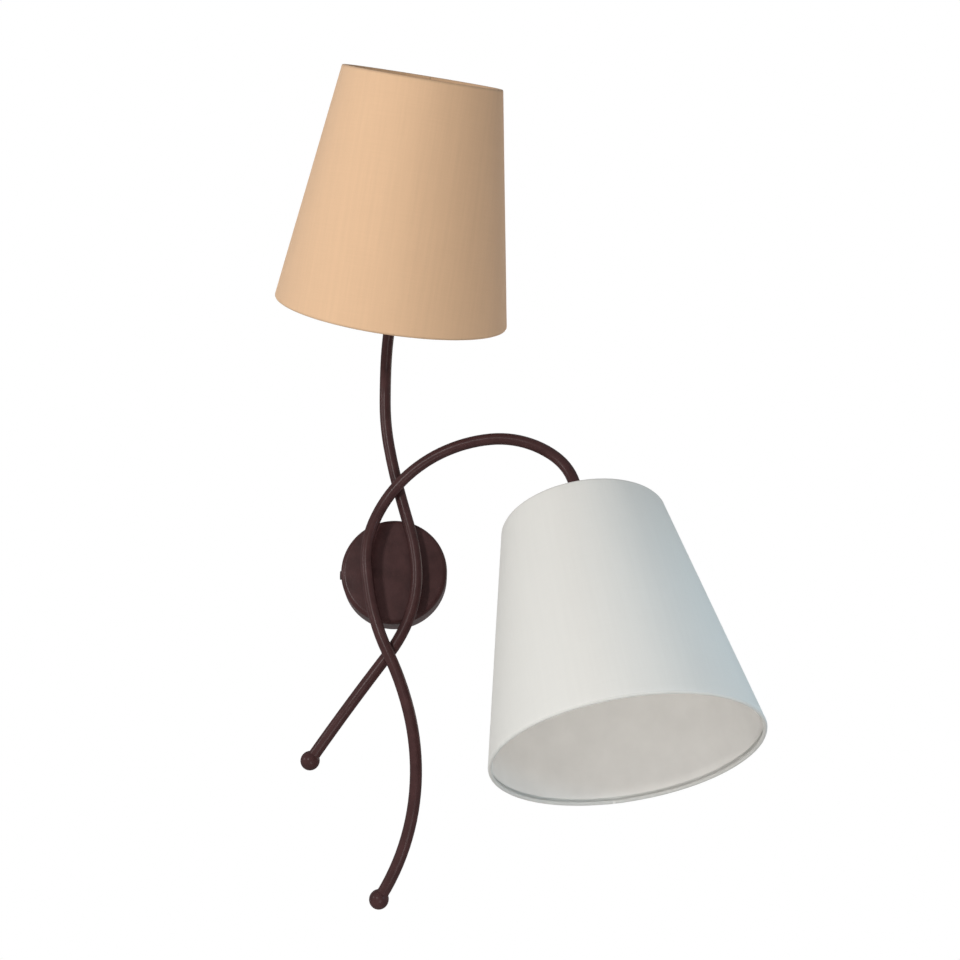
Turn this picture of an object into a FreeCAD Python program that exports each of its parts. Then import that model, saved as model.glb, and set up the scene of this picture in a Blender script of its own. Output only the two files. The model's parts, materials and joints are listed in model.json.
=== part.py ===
import FreeCAD, Part
import math
import os
from types import SimpleNamespace

import Sketcher
from FreeCAD import Placement, Rotation, Vector

# A wall light with two bent tubes that cross twice in front of a round canopy.  The upper tube
# ends in an upright lamp and the lower one in a hanging lamp, each under the same tapered
# fabric shade.  Millimetres; the origin is the middle of the canopy's back, on the wall;
# X runs to the right, Z up, and the front of the light faces -Y.
#
# "Out" is the distance from the wall.  Pieces at the wall are drawn as they are seen from the
# front, with x across, y up and z out.  Pieces of a lamp are drawn along z, from the mouth of
# the lampholder's cap towards the bulb, and pieces of a shade along z from its wide end.

SIZES = {
    # canopy: a pressed cup
    "canopy_radius": 47.6,
    "canopy_depth": 29.0,
    "canopy_sheet": 1.2,
    "canopy_edge_radius": 4.0,
    "canopy_screw_out": 9.0,
    "canopy_screw_shank_radius": 2.0,
    "canopy_screw_length": 8.0,
    "canopy_screw_head_radius": 3.9,
    "canopy_screw_head_thickness": 2.0,
    "canopy_peg_recess": 0.3,
    "canopy_peg_head_radius": 3.2,
    "canopy_peg_head_thickness": 1.0,
    # bracket behind the canopy
    "bracket_sheet": 1.5,
    "bracket_half_width": 10.0,
    "bracket_shoulder": 40.0,
    "bracket_end_gap": 1.1,
    "bracket_tab_half_width": 8.0,
    "bracket_tab_height": 34.0,
    "ear_half_width": 6.0,
    "ear_reach": 14.0,
    "wall_hole_spacing": 60.0,
    "wall_slot_length": 11.0,
    "wall_slot_width": 5.0,
    "earth_screw_across": 13.0,
    "earth_screw_shank_radius": 2.0,
    "earth_screw_head_radius": 3.6,
    "earth_screw_head_thickness": 2.4,
    "earth_lug_radius": 4.2,
    "earth_lug_sheet": 0.8,
    # terminal block on the bracket's tab
    "terminal_pitch": 9.0,
    "terminal_height": 16.0,
    "terminal_depth": 12.0,
    "terminal_centre_up": 25.0,
    "terminal_bore_radius": 2.1,
    "terminal_insert_inner_radius": 1.4,
    "terminal_insert_recess": 1.0,
    "terminal_screw_radius": 1.5,
    "terminal_screw_length": 4.0,
    "block_screw_shank_radius": 1.4,
    "block_screw_head_radius": 2.6,
    "block_screw_head_thickness": 1.6,
    # tube of both arms
    "tube_radius": 5.15,
    "tube_wall": 1.0,
    "finial_radius": 8.25,
    "finial_seat": 3.5,
    "upper_arm_gap": 10.0,
    "lower_arm_gap": 18.0,
    "arm_crossing_gap": 1.5,
    "crossing_low_across": -3.0,
    "crossing_low_up": -77.0,
    "crossing_high_across": 3.0,
    "crossing_high_up": 73.0,
    # posts that hold the arms on the canopy
    "post_radius": 4.5,
    "post_tail_radius": 4.0,
    "post_bore_radius": 2.75,
    "post_tail_length": 9.5,
    "post_washer_radius": 8.0,
    "post_washer_thickness": 1.0,
    "post_nut_across_flats": 13.0,
    "post_nut_thickness": 5.0,
    # upper arm: bend stations, forward of the post's own distance from the wall
    "upper_tail_across": -66.5,
    "upper_tail_up": -163.6,
    "upper_tail_forward": -13.5,
    "upper_crossing_low_forward": -0.5,
    "upper_crossing_low_lean": 37.0,
    "upper_crossing_low_rise": 2.0,
    "upper_post_across": 20.5,
    "upper_post_lean": -4.5,
    "upper_crossing_high_forward": -1.0,
    "upper_crossing_high_lean": -15.5,
    "upper_crossing_high_rise": 3.0,
    "upper_neck_across": -10.45,
    "upper_neck_up": 153.0,
    "upper_neck_forward": 5.85,
    "upper_neck_lean": -0.8,
    "upper_neck_rise": 7.0,
    "upper_run_across": -7.2,
    "upper_run_up": 210.3,
    "upper_run_forward": 34.3,
    "upper_lamp_lean": 9.4,
    "upper_lamp_rise": 34.95,
    "upper_run_length": 126.0,
    # lower arm
    "lower_tail_across": -5.4,
    "lower_tail_up": -276.4,
    "lower_tail_forward": -24.4,
    "lower_belly_across": 22.5,
    "lower_belly_up": -179.0,
    "lower_belly_forward": -4.0,
    "lower_belly_rise": 7.0,
    "lower_crossing_low_lean": -26.5,
    "lower_post_across": -23.5,
    "lower_post_lean": -5.0,
    "lower_crossing_high_lean": 43.0,
    "lower_crossing_high_rise": 12.0,
    "arch_top_across": 84.8,
    "arch_top_up": 108.8,
    "arch_top_forward": 27.35,
    "arch_shoulder_across": 139.8,
    "arch_shoulder_up": 87.2,
    "arch_shoulder_forward": 46.35,
    "arch_shoulder_lean": 133.3,
    "lower_run_across": 160.4,
    "lower_run_up": 20.2,
    "lower_run_forward": 68.75,
    "lower_lamp_lean": 173.65,
    "lower_lamp_rise": 18.1,
    "lower_run_length": 63.5,
    # wiring
    "lead_radius": 1.7,
    "lead_turn": 6.0,
    "lead_end_gap": 2.5,
    "core_radius": 0.7,
    "core_spacing": 1.7,
    "core_bend_radius": 3.0,
    "upper_core_room": 5.0,
    "lower_core_room": 9.0,
    "core_fan_up": 9.0,
    # lampholder, measured along the lamp
    "holder_thread_depth": 8.0,
    "holder_neck_radius": 9.0,
    "holder_neck_length": 5.0,
    "holder_cap_radius": 13.5,
    "holder_cap_length": 22.0,
    "holder_cap_wall": 2.0,
    "holder_block_up": 14.0,
    "holder_block_ledge": 2.0,
    "holder_flange_radius": 17.0,
    "holder_flange_thickness": 2.0,
    "holder_skirt_radius": 14.0,
    "holder_skirt_length": 26.0,
    "holder_skirt_wall": 1.8,
    "holder_mouth_radius": 10.0,
    "holder_sleeve_wall": 1.4,
    "holder_boss_height": 4.0,
    "screw_shell_sheet": 0.4,
    "screw_shell_length": 18.0,
    "centre_contact_radius": 2.2,
    "centre_contact_height": 1.5,
    "shade_nut_radius": 17.5,
    "shade_nut_height": 7.0,
    # bulb
    "bulb_globe_radius": 22.5,
    "bulb_glass": 1.0,
    "bulb_neck_radius": 7.8,
    "bulb_taper_length": 7.2,
    "bulb_cap_radius": 6.8,
    "bulb_cap_length": 22.0,
    "bulb_collar_wall": 0.75,
    "bulb_collar_length": 3.5,
    "bulb_tip_radius": 2.4,
    "bulb_tip_height": 1.2,
    "bulb_insulator_height": 2.0,
    # shade
    "shade_wide_radius": 105.0,
    "shade_narrow_radius": 69.0,
    "shade_height": 203.0,
    "shade_fabric": 0.4,
    "shade_lining": 0.35,
    "shade_lining_margin": 4.0,
    "shade_wire_radius": 0.9,
    "fitter_drop": 81.0,
    "fitter_ring_radius": 19.5,
    "fitter_ring_sheet": 1.5,
    "fitter_spoke_run": 5.0,
    "fitter_spoke_bend_radius": 5.0,
    # clearances
    "thread_clearance": 0.05,
    "press_clearance": 0.05,
    "hem_clearance": 0.25,
    "turning_clearance": 0.3,
    "bulb_thread_clearance": 0.3,
    "seat_gap": 0.15,
    "screw_hole_clearance": 0.2,
}
FITTER_SPOKES = 3
TERMINAL_POLES = 3

doc = FreeCAD.newDocument("DoubleArmWallSconce")
sheet = doc.addObject("Spreadsheet::Sheet", "Sizes")
for row, (alias, number) in enumerate(SIZES.items(), start=1):
    sheet.set(f"A{row}", alias.replace("_", " "))
    sheet.set(f"B{row}", str(number))
    sheet.setAlias(f"B{row}", alias)
doc.recompute()


class Size:
    """A number from the sheet, or one worked out from several, that keeps its formula."""

    def __init__(self, value, formula):
        self.value = float(value)
        self.formula = formula

    def __float__(self):
        return self.value

    def combined(self, other, sign, result):
        formula = other.formula if isinstance(other, Size) else str(other)
        return Size(result, f"({self.formula} {sign} {formula})")

    def __add__(self, other):
        return self.combined(other, "+", self.value + float(other))

    def __sub__(self, other):
        return self.combined(other, "-", self.value - float(other))

    def __mul__(self, other):
        return self.combined(other, "*", self.value * float(other))

    def __truediv__(self, other):
        return self.combined(other, "/", self.value / float(other))

    def __neg__(self):
        return Size(-self.value, f"(0 - {self.formula})")

    def __lt__(self, other):
        return self.value < float(other)


s = SimpleNamespace(**{alias: Size(sheet.get(alias), f"Sizes.{alias}") for alias in SIZES})
ZERO = Size(0, "0")


# ------------------------------------------------------------------ sizes that follow others
tube_bore_radius = s.tube_radius - s.tube_wall
canopy_inner_radius = s.canopy_radius - s.canopy_sheet
canopy_front_inside = s.canopy_depth - s.canopy_sheet
bracket_half_length = canopy_inner_radius - s.bracket_end_gap
upper_post_out = s.canopy_depth + s.upper_arm_gap + s.tube_radius
lower_post_out = s.canopy_depth + s.lower_arm_gap + s.tube_radius
upper_crossing_low_out = upper_post_out + s.upper_crossing_low_forward
upper_crossing_high_out = upper_post_out + s.upper_crossing_high_forward
crossing_pitch = s.tube_radius * 2 + s.arm_crossing_gap
terminal_out = s.bracket_sheet + s.terminal_depth / 2
terminal_bottom = s.terminal_centre_up - s.terminal_height / 2
insert_bottom = terminal_bottom + s.terminal_insert_recess
seat_height = s.holder_cap_length + s.holder_flange_thickness
fitter_height = s.shade_height - s.fitter_drop
screw_shell_inner_radius = s.bulb_cap_radius + s.bulb_thread_clearance
screw_shell_outer_radius = screw_shell_inner_radius + s.screw_shell_sheet
block_top = s.holder_cap_length + s.holder_boss_height
bulb_tip_up = block_top + s.centre_contact_height + s.turning_clearance
hem_inner_radius = s.shade_wire_radius + s.hem_clearance
hem_outer_radius = hem_inner_radius + s.shade_fabric
fitter_ring_inner = s.holder_skirt_radius + s.turning_clearance

# From a piece drawn as seen from the front (x across, y up, z out) to its place on the wall.
WALL = Placement(Vector(), Rotation(Vector(1, 0, 0), 90))


# ------------------------------------------------------------------ drawing helpers
def point(x, y, z):
    """A point given by sizes or plain numbers."""
    return Vector(float(x), float(y), float(z))


def place(across, up, out):
    """A place on the wall light: across, up and out from the wall."""
    return Vector(float(across), -float(out), float(up))


def heading(lean, rise=0):
    """The direction that leans to the right of straight up, and rises away from the wall."""
    lean_angle = math.radians(float(lean))
    rise_angle = math.radians(float(rise))
    level = math.cos(rise_angle)
    return Vector(math.sin(lean_angle) * level, -math.sin(rise_angle), math.cos(lean_angle) * level)


def along(direction):
    """The rotation that turns Z to a direction."""
    return Rotation(Vector(0, 0, 1), direction)


def bind(feature, **sizes):
    """Ties a feature's properties to the sheet."""
    for name, length in sizes.items():
        if isinstance(length, Size):
            feature.setExpression(name, length.formula)
        else:
            setattr(feature, name, length)


def cylinder(name, radius, height, base=Vector(), direction=Vector(0, 0, 1)):
    feature = doc.addObject("Part::Cylinder", name)
    bind(feature, Radius=radius, Height=height)
    feature.Placement = Placement(base, along(direction))
    return feature


def box(name, length, width, height, corner):
    feature = doc.addObject("Part::Box", name)
    bind(feature, Length=length, Width=width, Height=height)
    feature.Placement = Placement(corner, Rotation())
    return feature


def joined(name, features):
    feature = doc.addObject("Part::MultiFuse", name)
    feature.Shapes = features
    feature.Refine = True
    return feature


def cut(name, base, tools):
    feature = doc.addObject("Part::Cut", name)
    feature.Base = base
    feature.Tool = tools[0] if len(tools) == 1 else joined(name + "_tools", tools)
    return feature


def grouped(name, features):
    feature = doc.addObject("Part::Compound", name)
    feature.Links = features
    return feature


def sketch_in(body, name, plane):
    """A sketch on one of the body's own origin planes."""
    sketch = body.newObject("Sketcher::SketchObject", name)
    support = next(item for item in body.Origin.OriginFeatures if item.Role == plane)
    sketch.AttachmentSupport = [(support, "")]
    sketch.MapMode = "FlatFace"
    return sketch


def pin_point(sketch, geometry, position, x, y):
    """Ties a point of a sketch to its distances from the origin."""
    for kind, length in (("DistanceX", x), ("DistanceY", y)):
        constraint = Sketcher.Constraint(kind, -1, 1, geometry, position, float(length))
        index = sketch.addConstraint(constraint)
        sketch.setExpression(f"Constraints[{index}]", length.formula)


def draw_outline(sketch, corners):
    """A closed outline of straight lines through corners given by sizes."""
    ends = [point(x, y, 0) for x, y in corners]
    count = len(corners)
    lines = [
        sketch.addGeometry(Part.LineSegment(ends[i], ends[(i + 1) % count]), False)
        for i in range(count)
    ]
    for i in range(count):
        sketch.addConstraint(Sketcher.Constraint("Coincident", lines[i], 2, lines[(i + 1) % count], 1))
    for line, (x, y) in zip(lines, corners):
        pin_point(sketch, line, 1, x, y)


def draw_circle(sketch, x, y, radius):
    circle = sketch.addGeometry(Part.Circle(point(x, y, 0), Vector(0, 0, 1), float(radius)), False)
    pin_point(sketch, circle, 3, x, y)
    index = sketch.addConstraint(Sketcher.Constraint("Radius", circle, float(radius)))
    sketch.setExpression(f"Constraints[{index}]", radius.formula)


def draw_slot(sketch, x, y, length, width):
    """A slot along x: two half circles joined by straight sides."""
    radius = width / 2
    reach = length / 2 - radius
    half_turn = math.pi / 2
    sides = []
    for side in (-1, 1):
        centre = point(x + reach * side, y, 0)
        circle = Part.Circle(centre, Vector(0, 0, 1), float(radius))
        start = half_turn if side < 0 else -half_turn
        arc = sketch.addGeometry(Part.ArcOfCircle(circle, start, start + math.pi), False)
        pin_point(sketch, arc, 3, x + reach * side, y)
        sides.append(arc)
    left, right = sides
    lift = Vector(0, float(radius), 0)
    left_centre = point(x - reach, y, 0)
    right_centre = point(x + reach, y, 0)
    top = sketch.addGeometry(Part.LineSegment(right_centre + lift, left_centre + lift), False)
    bottom = sketch.addGeometry(Part.LineSegment(left_centre - lift, right_centre - lift), False)
    for first, first_end, second, second_end in (
        (right, 2, top, 1),
        (top, 2, left, 1),
        (left, 2, bottom, 1),
        (bottom, 2, right, 1),
    ):
        sketch.addConstraint(Sketcher.Constraint("Tangent", first, first_end, second, second_end))
    index = sketch.addConstraint(Sketcher.Constraint("Radius", left, float(radius)))
    sketch.setExpression(f"Constraints[{index}]", radius.formula)


def turned(name, outline):
    """A body of revolution about Z through (radius, height) corners."""
    body = doc.addObject("PartDesign::Body", name)
    sketch = sketch_in(body, name + "_section", "XZ_Plane")
    draw_outline(sketch, outline)
    revolution = body.newObject("PartDesign::Revolution", name + "_turned")
    revolution.Profile = sketch
    revolution.ReferenceAxis = (sketch, ["V_Axis"])
    revolution.Angle = 360
    doc.recompute()
    return body


def padded(body, sketch, name, length):
    pad = body.newObject("PartDesign::Pad", name)
    pad.Profile = sketch
    pad.setExpression("Length", length.formula)
    doc.recompute()
    return pad


def edges_at(shape, radius, height):
    """Names of the circular edges about Z with that radius at that height."""
    names = []
    for index, edge in enumerate(shape.Edges, start=1):
        if not isinstance(edge.Curve, Part.Circle):
            continue
        same_radius = abs(edge.Curve.Radius - float(radius)) < 1e-6
        if same_radius and abs(edge.Curve.Center.z - float(height)) < 1e-6:
            names.append(f"Edge{index}")
    return names


# ------------------------------------------------------------------ routes of tubes and wires
def arc_leaving(start, direction, end):
    """The arc that leaves start along a direction and reaches end, by its middle point."""
    chord = end - start
    bow = direction.cross(chord)
    if bow.Length < 1e-6 * chord.Length:
        return (start + end) * 0.5
    inward = bow.normalize().cross(direction)
    radius = chord.dot(chord) / (2 * chord.dot(inward))
    centre = start + inward * radius
    outward = (start + end) * 0.5 - centre
    return centre + outward.normalize() * radius


def bend(start, middle, end):
    """An edge through three points: an arc, or a line where they are in line."""
    if (middle - start).cross(end - middle).Length < 1e-9:
        return Part.LineSegment(start, end).toShape()
    return Part.Arc(start, middle, end).toShape()


def two_arcs(start, leaving, end, arriving):
    """Two arcs that meet smoothly and join two places with a given direction at each."""
    chord = end - start
    sum_of_directions = leaving + arriving
    square = 2 * (1 - leaving.dot(arriving))
    slope = 2 * chord.dot(sum_of_directions)
    constant = -chord.dot(chord)
    if square < 1e-9:
        handle = -constant / slope
    else:
        handle = (-slope + math.sqrt(slope * slope - 4 * square * constant)) / (2 * square)
    meeting = (start + leaving * handle + end - arriving * handle) * 0.5
    first = bend(start, arc_leaving(start, leaving, meeting), meeting)
    second = bend(meeting, arc_leaving(end, arriving * -1, meeting), end)
    return [first, second]


def tube_bends(stations):
    """The arcs through bend stations, each a place and the tube's direction there."""
    (start, _), (second_place, second_direction) = stations[:2]
    chord = (second_place - start).normalize()
    leaving = chord * (2 * chord.dot(second_direction)) - second_direction
    edges = []
    for place_here, direction in stations[1:]:
        edges += two_arcs(start, leaving, place_here, direction)
        start, leaving = place_here, direction
    return edges


def rounded_run(corners, radius):
    """Straight runs through corners, joined by arcs of one radius."""
    edges = []
    start = corners[0]
    for before, corner, after in zip(corners, corners[1:], corners[2:]):
        arriving = (corner - before).normalize()
        leaving = (after - corner).normalize()
        trim = float(radius) * math.tan(arriving.getAngle(leaving) / 2)
        arc_start = corner - arriving * trim
        arc_end = corner + leaving * trim
        edges.append(Part.LineSegment(start, arc_start).toShape())
        edges.append(bend(arc_start, arc_leaving(arc_start, arriving, arc_end), arc_end))
        start = arc_end
    edges.append(Part.LineSegment(start, corners[-1]).toShape())
    return edges


def swept(name, edges, radius):
    """A round bar of that radius along a route."""
    route = doc.addObject("Part::Feature", name + "_route")
    route.Shape = Part.Wire(edges)
    section = doc.addObject("Part::Circle", name + "_section")
    bind(section, Radius=radius)
    first = edges[0]
    section.Placement = Placement(
        first.valueAt(first.FirstParameter), along(first.tangentAt(first.FirstParameter))
    )
    bar = doc.addObject("Part::Sweep", name)
    bar.Sections = [section]
    bar.Spine = (route, [f"Edge{i}" for i in range(1, len(edges) + 1)])
    bar.Solid = True
    bar.Frenet = False
    bar.Transition = "Transformed"
    doc.recompute()
    expected = math.pi * float(radius) ** 2 * route.Shape.Length
    if abs(bar.Shape.Volume - expected) > 0.01 * expected:
        raise ValueError(f"{name}: volume {bar.Shape.Volume:.1f}, expected {expected:.1f}")
    return bar


# ------------------------------------------------------------------ finished sub-parts
parts = []


def finish(feature, label, placement=None):
    """Names a sub-part and puts it in its place."""
    feature.Label = label
    if placement is not None:
        feature.Placement = placement
    parts.append(feature)
    return feature


# ------------------------------------------------------------------ canopy and bracket
def make_canopy():
    cup = turned(
        "canopy_cup",
        [
            (ZERO, canopy_front_inside),
            (canopy_inner_radius, canopy_front_inside),
            (canopy_inner_radius, ZERO),
            (s.canopy_radius, ZERO),
            (s.canopy_radius, s.canopy_depth),
            (ZERO, s.canopy_depth),
        ],
    )
    pressing = cup.Tip
    front_edges = edges_at(pressing.Shape, s.canopy_radius, s.canopy_depth)
    rounding = cup.newObject("PartDesign::Fillet", "canopy_front_edge")
    rounding.Base = (pressing, front_edges)
    rounding.setExpression("Radius", s.canopy_edge_radius.formula)
    doc.recompute()
    inner_edges = edges_at(rounding.Shape, canopy_inner_radius, canopy_front_inside)
    inner_rounding = cup.newObject("PartDesign::Fillet", "canopy_inner_edge")
    inner_rounding.Base = (rounding, inner_edges)
    inner_rounding.setExpression("Radius", (s.canopy_edge_radius - s.canopy_sheet).formula)
    doc.recompute()
    post_hole_radius = s.post_tail_radius + s.screw_hole_clearance
    holes = [
        cylinder(
            f"canopy_{name}_post_hole", post_hole_radius, s.canopy_sheet * 3,
            point(across, 0, canopy_front_inside - s.canopy_sheet),
        )
        for name, across in (("upper", s.upper_post_across), ("lower", s.lower_post_across))
    ]
    holes.append(
        cylinder(
            "canopy_side_holes", s.canopy_screw_shank_radius + s.screw_hole_clearance,
            s.canopy_radius * 2, point(-s.canopy_radius, 0, s.canopy_screw_out), Vector(1, 0, 0),
        )
    )
    finish(cut("canopy_drilled", cup, holes), "canopy", WALL)


def make_canopy_fixings():
    """A pan head screw with a cross recess on the left, and on the right a peg in the
    bracket's ear that the canopy hooks over."""
    slot_width = s.canopy_screw_shank_radius * 0.4
    slot_length = s.canopy_screw_head_radius * 1.3
    slot_depth = s.canopy_screw_head_thickness / 2
    recess_floor = s.canopy_screw_head_thickness - slot_depth
    shank = cylinder(
        "canopy_screw_shank", s.canopy_screw_shank_radius, s.canopy_screw_length,
        point(0, 0, -s.canopy_screw_length),
    )
    head = cylinder("canopy_screw_head", s.canopy_screw_head_radius, s.canopy_screw_head_thickness)
    slots = [
        box(
            "canopy_screw_slot", slot_length, slot_width, slot_depth,
            point(-slot_length / 2, -slot_width / 2, recess_floor),
        ),
        box(
            "canopy_screw_cross", slot_width, slot_length, slot_depth,
            point(-slot_width / 2, -slot_length / 2, recess_floor),
        ),
    ]
    screw = cut("canopy_screw_cut", joined("canopy_screw_blank", [shank, head]), slots)
    seat = Placement(point(-s.canopy_radius, 0, s.canopy_screw_out), along(Vector(-1, 0, 0)))
    finish(screw, "canopy_screw", WALL.multiply(seat))

    ear_inside = bracket_half_length - s.bracket_sheet
    to_the_right = Vector(1, 0, 0)
    pin = cylinder(
        "canopy_peg_pin", s.canopy_screw_shank_radius,
        s.canopy_radius - s.canopy_peg_recess - ear_inside,
        point(ear_inside, 0, s.canopy_screw_out), to_the_right,
    )
    pin_head = cylinder(
        "canopy_peg_head", s.canopy_peg_head_radius, s.canopy_peg_head_thickness,
        point(ear_inside - s.canopy_peg_head_thickness, 0, s.canopy_screw_out), to_the_right,
    )
    finish(joined("canopy_peg_riveted", [pin, pin_head]), "canopy_peg", WALL)


def make_bracket():
    """A pressed cross: a bar with a bent ear at each end, and a tab for the terminal block."""
    body = doc.addObject("PartDesign::Body", "bracket_body")
    blank = sketch_in(body, "bracket_outline", "XY_Plane")
    right = [
        (bracket_half_length, -s.ear_half_width),
        (bracket_half_length, s.ear_half_width),
        (s.bracket_shoulder, s.bracket_half_width),
        (s.bracket_tab_half_width, s.bracket_half_width),
        (s.bracket_tab_half_width, s.bracket_tab_height),
    ]
    left = [(-x, y) for x, y in reversed(right)]
    lower = [(-s.bracket_shoulder, -s.bracket_half_width), (s.bracket_shoulder, -s.bracket_half_width)]
    draw_outline(blank, right + left + lower)
    for side in (-1, 1):
        draw_slot(blank, s.wall_hole_spacing / 2 * side, ZERO, s.wall_slot_length, s.wall_slot_width)
        draw_circle(
            blank, s.terminal_pitch / 2 * side, s.terminal_centre_up,
            s.block_screw_shank_radius + s.thread_clearance,
        )
    draw_circle(
        blank, s.earth_screw_across, ZERO, s.earth_screw_shank_radius + s.thread_clearance
    )
    padded(body, blank, "bracket_sheet_pad", s.bracket_sheet)
    ears = sketch_in(body, "bracket_ears", "XY_Plane")
    ear_inside = bracket_half_length - s.bracket_sheet
    for side in (-1, 1):
        draw_outline(
            ears,
            [
                (ear_inside * side, -s.ear_half_width),
                (bracket_half_length * side, -s.ear_half_width),
                (bracket_half_length * side, s.ear_half_width),
                (ear_inside * side, s.ear_half_width),
            ],
        )
    padded(body, ears, "bracket_ear_pads", s.ear_reach)
    threads = sketch_in(body, "bracket_ear_threads", "YZ_Plane")
    draw_circle(threads, ZERO, s.canopy_screw_out, s.canopy_screw_shank_radius + s.thread_clearance)
    before = body.Shape.Volume
    pocket = body.newObject("PartDesign::Pocket", "bracket_ear_holes")
    pocket.Profile = threads
    pocket.SideType = "Symmetric"
    pocket.Type = "ThroughAll"
    doc.recompute()
    if body.Shape.Volume >= before:
        raise ValueError("the ears' screw holes cut nothing")
    finish(body, "wall_bracket", WALL)


def make_terminal_block():
    width = s.terminal_pitch * TERMINAL_POLES
    body = doc.addObject("PartDesign::Body", "terminal_body")
    outline = sketch_in(body, "terminal_outline", "XY_Plane")
    top = terminal_bottom + s.terminal_height
    draw_outline(
        outline,
        [
            (-width / 2, terminal_bottom),
            (width / 2, terminal_bottom),
            (width / 2, top),
            (-width / 2, top),
        ],
    )
    for side in (-1, 1):
        draw_circle(
            outline, s.terminal_pitch / 2 * side, s.terminal_centre_up,
            s.block_screw_shank_radius + s.screw_hole_clearance,
        )
    padded(body, outline, "terminal_housing", s.terminal_depth)
    body.Placement = Placement(point(0, 0, s.bracket_sheet), Rotation())
    tools = []
    inserts = []
    screws = []
    front = s.bracket_sheet + s.terminal_depth
    well_radius = s.terminal_screw_radius + s.screw_hole_clearance
    insert_length = s.terminal_height - s.terminal_insert_recess * 2
    insert_outer = s.terminal_bore_radius - s.press_clearance
    screw_seat = terminal_out + s.terminal_insert_inner_radius
    for pole in range(TERMINAL_POLES):
        across = s.terminal_pitch * (pole - (TERMINAL_POLES - 1) / 2)
        upward = Vector(0, 1, 0)
        tools.append(
            cylinder(
                f"terminal_bore_{pole}", s.terminal_bore_radius, s.terminal_height,
                point(across, terminal_bottom, terminal_out), upward,
            )
        )
        tools.append(
            cylinder(
                f"terminal_well_{pole}", well_radius, front - terminal_out,
                point(across, s.terminal_centre_up, terminal_out),
            )
        )
        sleeve = cylinder(
            f"insert_sleeve_{pole}", insert_outer, insert_length,
            point(across, insert_bottom, terminal_out), upward,
        )
        bore = cylinder(
            f"insert_bore_{pole}", s.terminal_insert_inner_radius, insert_length,
            point(across, insert_bottom, terminal_out), upward,
        )
        thread = cylinder(
            f"insert_thread_{pole}", s.terminal_screw_radius + s.thread_clearance,
            s.terminal_bore_radius, point(across, s.terminal_centre_up, terminal_out),
        )
        inserts.append(cut(f"insert_{pole}", sleeve, [bore, thread]))
        screws.append(
            cylinder(
                f"terminal_screw_{pole}", s.terminal_screw_radius, s.terminal_screw_length,
                point(across, s.terminal_centre_up, screw_seat),
            )
        )
    finish(cut("terminal_housing_bored", body, tools), "terminal_block", WALL)
    finish(grouped("terminal_insert_set", inserts), "terminal_inserts", WALL)
    finish(grouped("terminal_screw_set", screws), "terminal_screws", WALL)
    block_screws = []
    for side in (-1, 1):
        across = s.terminal_pitch / 2 * side
        shank = cylinder(
            f"block_screw_shank_{side + 1}", s.block_screw_shank_radius, front,
            point(across, s.terminal_centre_up, 0),
        )
        head = cylinder(
            f"block_screw_head_{side + 1}", s.block_screw_head_radius, s.block_screw_head_thickness,
            point(across, s.terminal_centre_up, front),
        )
        block_screws.append(joined(f"block_screw_{side + 1}", [shank, head]))
    finish(grouped("block_screw_pair", block_screws), "block_screws", WALL)


def make_earth_bond():
    """The earth screw in the bracket, and the wire from its lug to the block's third pole."""
    across = s.earth_screw_across
    lug_top = s.bracket_sheet + s.earth_lug_sheet
    shank = cylinder("earth_screw_shank", s.earth_screw_shank_radius, lug_top, point(across, 0, 0))
    head = cylinder(
        "earth_screw_head", s.earth_screw_head_radius, s.earth_screw_head_thickness,
        point(across, 0, lug_top),
    )
    finish(joined("earth_screw_blank", [shank, head]), "earth_screw", WALL)
    plate = cylinder("earth_lug_plate", s.earth_lug_radius, s.earth_lug_sheet, point(across, 0, s.bracket_sheet))
    hole = cylinder(
        "earth_lug_hole", s.earth_screw_shank_radius + s.screw_hole_clearance, s.earth_lug_sheet,
        point(across, 0, s.bracket_sheet),
    )
    lug = cut("earth_lug", plate, [hole])
    pole = s.terminal_pitch * (TERMINAL_POLES - 1) / 2
    wire_out = s.bracket_sheet + s.earth_lug_sheet / 2 + s.core_radius
    lug_rim = (s.earth_lug_radius + s.earth_screw_head_radius) / 2
    route = [
        point(pole, insert_bottom, terminal_out),
        point(pole, terminal_bottom - s.core_bend_radius, terminal_out),
        point(across, s.earth_lug_radius + s.core_bend_radius, wire_out),
        point(across, lug_rim, wire_out),
    ]
    wire = swept("earth_core", rounded_run(route, s.core_bend_radius * 0.8), s.core_radius)
    finish(joined("earth_bond", [lug, wire]), "earth_wire", WALL)


# ------------------------------------------------------------------ arms
def upper_stations():
    post_out = upper_post_out
    return [
        (place(s.upper_tail_across, s.upper_tail_up, post_out + s.upper_tail_forward), None),
        (
            place(s.crossing_low_across, s.crossing_low_up, upper_crossing_low_out),
            heading(s.upper_crossing_low_lean, s.upper_crossing_low_rise),
        ),
        (place(s.upper_post_across, 0, post_out), heading(s.upper_post_lean)),
        (
            place(s.crossing_high_across, s.crossing_high_up, upper_crossing_high_out),
            heading(s.upper_crossing_high_lean, s.upper_crossing_high_rise),
        ),
        (
            place(s.upper_neck_across, s.upper_neck_up, post_out + s.upper_neck_forward),
            heading(s.upper_neck_lean, s.upper_neck_rise),
        ),
        (
            place(s.upper_run_across, s.upper_run_up, post_out + s.upper_run_forward),
            heading(s.upper_lamp_lean, s.upper_lamp_rise),
        ),
    ]


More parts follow.
